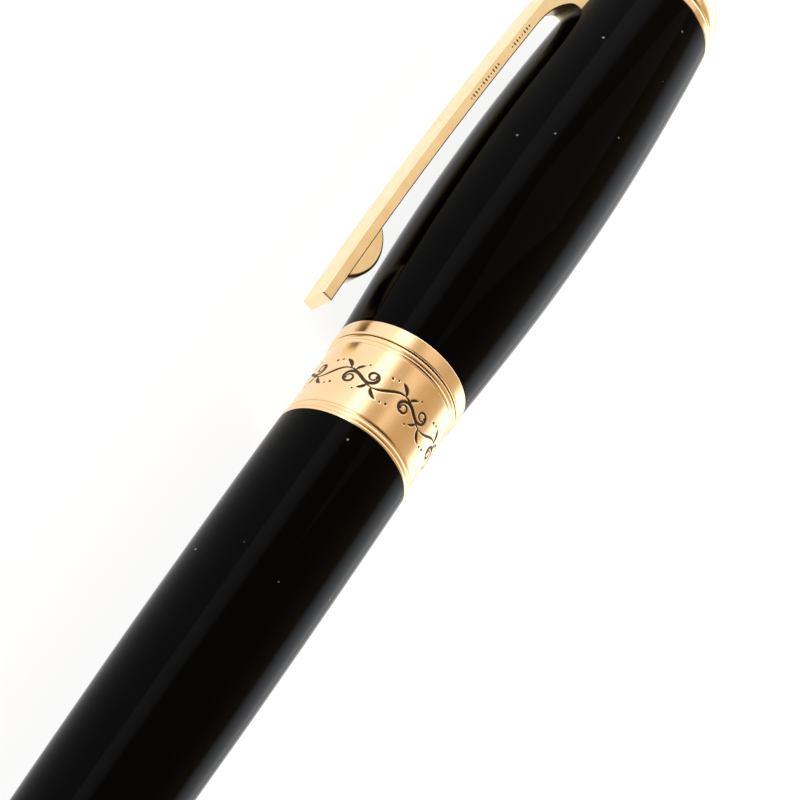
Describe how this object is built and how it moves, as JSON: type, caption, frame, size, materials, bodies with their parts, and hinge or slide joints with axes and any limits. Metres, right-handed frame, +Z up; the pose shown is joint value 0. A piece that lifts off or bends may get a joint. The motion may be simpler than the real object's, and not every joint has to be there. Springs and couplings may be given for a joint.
{
  "type": "rollerball pen",
  "caption": "Capped rollerball pen with black lacquered cap and barrel, gold trim, an engraved gold centre band and a sprung pocket clip.",
  "frame": {"origin": "middle of the pen's footprint on the surface it lies on", "axes": "+X along the pen's axis towards the barrel's tail, +Z up, clip on the -Y side turned down"},
  "size_m": [0.14, 0.0154, 0.0133],
  "materials": {
    "black_lacquer": "deep black lacquer over brass, polished to a mirror gloss",
    "gold_plate": "polished pale gold plate with fine turning lines",
    "engraved_gold": "pale gold plate with engraved strokes darkened brown",
    "black_resin": "glossy black resin",
    "bare_brass": "machined brass",
    "steel": "spring steel",
    "liner_plastic": "moulded black plastic",
    "refill_metal": "drawn stainless tube",
    "refill_plastic": "moulded dark plastic",
    "ink": "ink-soaked fibre",
    "seal_rubber": "black nitrile",
    "ball_carbide": "ground carbide"
  },
  "bodies": {
    "barrel": {"barrel_shell": "black_lacquer", "band_front_ring": "gold_plate", "centre_band": "engraved_gold", "band_rear_ring": "gold_plate", "barrel_connector": "bare_brass", "tail_ring": "gold_plate", "tail_cap": "gold_plate", "tail_screw": "steel", "spring_seat": "bare_brass", "refill_spring": "steel"},
    "cap": {"cap_shell": "black_lacquer", "cap_lip_ring": "gold_plate", "cap_spring_ring": "steel", "cap_liner": "liner_plastic", "cap_top_ring": "gold_plate", "cap_finial": "gold_plate", "finial_screw": "steel", "clip_carrier": "bare_brass", "clip_pin": "steel", "clip_spring": "steel"},
    "clip": {"clip_arm": "gold_plate", "clip_foot": "gold_plate"},
    "refill": {"refill_tube": "refill_metal", "refill_nose": "refill_plastic", "refill_point": "refill_metal", "ink_reservoir": "ink", "refill_end_plug": "refill_plastic"},
    "section": {"section_sleeve": "bare_brass", "section_trim_ring": "gold_plate", "grip_section": "black_resin", "section_tip": "gold_plate", "section_seal": "seal_rubber"},
    "ball": {"writing_ball": "ball_carbide"}
  },
  "joints": [
    {"name": "cap_slide", "type": "slide", "parent": "barrel", "child": "cap", "axis": [-1, 0, 0], "range_m": [0, 0.045]},
    {"name": "clip_hinge", "type": "hinge", "parent": "cap", "child": "clip", "pos_m": [-0.0604, -0.00174, 0.00473], "axis": [0, 0.5625, -0.8268], "range_deg": [0, 4], "stiffness_Nm_per_rad": 2, "springref_deg": -1.15},
    {"name": "refill_travel", "type": "slide", "parent": "barrel", "child": "refill", "axis": [-1, 0, 0], "range_m": [0, 0.003], "deforming": ["refill_spring"]},
    {"name": "section_turn", "type": "hinge", "parent": "refill", "child": "section", "pos_m": [-0.02, 0.00107, 0.00664], "axis": [-1, 0, 0], "range_deg": [0, 1444]},
    {"name": "ball_roll", "type": "hinge", "parent": "refill", "child": "ball", "pos_m": [-0.05265, 0.00107, 0.00664], "axis": [0, 1, 0], "continuous": true}
  ],
  "couplings": [
    {"joint": "section_turn", "follows": "refill_travel", "rad_per_m": 8377.6}
  ]
}
